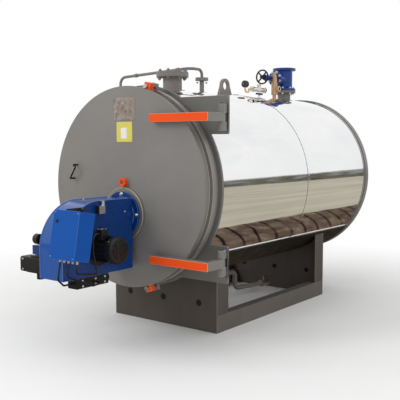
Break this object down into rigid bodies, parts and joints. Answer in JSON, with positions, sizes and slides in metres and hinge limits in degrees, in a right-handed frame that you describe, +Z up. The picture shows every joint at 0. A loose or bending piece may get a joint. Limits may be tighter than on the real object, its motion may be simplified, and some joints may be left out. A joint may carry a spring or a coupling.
{
  "type": "industrial boiler",
  "caption": "Horizontal fire-tube hot water boiler with a mirror-clad body, hinged burner door, burner and steel base.",
  "frame": {"origin": "on the floor, at the centre of the four anchor bolt holes of the base", "axes": "+Z up, +Y from the burner door to the flue end, +X to the side of the door hinges"},
  "size_m": [1.7915, 3.9392, 2.415],
  "materials": {
    "grey_paint": "semi-gloss warm grey enamel",
    "mirror_sheet": "mirror-polished stainless sheet",
    "bare_steel": "rolled steel",
    "mineral_wool": "matt fibre",
    "refractory": "cast refractory, stands in as a matt solid",
    "gasket_rope": "woven rope",
    "orange_paint": "semi-gloss orange enamel",
    "blue_paint": "gloss blue enamel",
    "blue_casting": "blue epoxy on iron",
    "black_casting": "black satin",
    "black_plastic": "matt black",
    "bright_steel": "zinc-plated",
    "brass_metal": "cast brass",
    "plate_metal": "anodised sheet",
    "yellow_sheet": "gloss film"
  },
  "bodies": {
    "boiler": {"base_front_plate": "grey_paint", "base_rear_plate": "grey_paint", "base_rails": "grey_paint", "base_posts": "grey_paint", "pressure_shell": "bare_steel", "front_tube_sheet": "bare_steel", "rear_tube_sheet": "bare_steel", "furnace_tube": "bare_steel", "furnace_back": "bare_steel", "smoke_tubes": "bare_steel", "smoke_box": "bare_steel", "rear_cover": "grey_paint", "flue_outlet": "grey_paint", "body_flange": "grey_paint", "ear_plate": "grey_paint", "hinge_barrels": "grey_paint", "hinge_pins": "bright_steel", "latch_lugs": "grey_paint", "insulation": "mineral_wool", "front_cladding": "mirror_sheet", "rear_cladding": "mirror_sheet", "belly_sheet": "grey_paint", "cladding_trim": "mirror_sheet", "end_trim": "grey_paint", "front_nozzle": "grey_paint", "blind_flange": "grey_paint", "vent_nozzle": "grey_paint", "vent_line": "grey_paint", "lifting_lug": "grey_paint", "top_fittings": "bright_steel", "safety_valve": "brass_metal", "outlet_nozzle": "grey_paint", "outlet_valve": "blue_casting", "drain_line": "grey_paint"},
    "door": {"door_plate": "grey_paint", "door_rim": "grey_paint", "door_lining": "refractory", "door_gasket": "gasket_rope", "hinge_arms": "grey_paint", "arm_covers": "orange_paint", "door_handle": "black_casting", "sight_glass": "orange_paint", "name_plate": "plate_metal", "notice_tag": "yellow_sheet", "latch_blocks": "orange_paint", "latch_bolts": "bright_steel", "burner_collar": "bare_steel", "burner_flange": "blue_paint", "burner_housing": "blue_paint", "blast_tube": "bare_steel", "fan_motor": "black_casting", "motor_cowl": "black_casting", "control_box": "blue_paint", "panel_bracket": "blue_paint", "cable_glands": "bright_steel", "burner_conduits": "black_plastic", "gas_valve": "black_casting", "air_intake": "blue_paint", "gas_trim_block": "black_casting"},
    "handwheel": {"outlet_handwheel": "black_casting"}
  },
  "joints": [
    {"name": "door_swing", "type": "hinge", "parent": "boiler", "child": "door", "pos_m": [0.872, -1.281, 1.24], "axis": [0, 0, 1], "range_deg": [0, 110]},
    {"name": "wheel_turn", "type": "hinge", "parent": "boiler", "child": "handwheel", "pos_m": [0, 0.659, 2.293], "axis": [0, 1, 0], "range_deg": [0, 3600]}
  ]
}
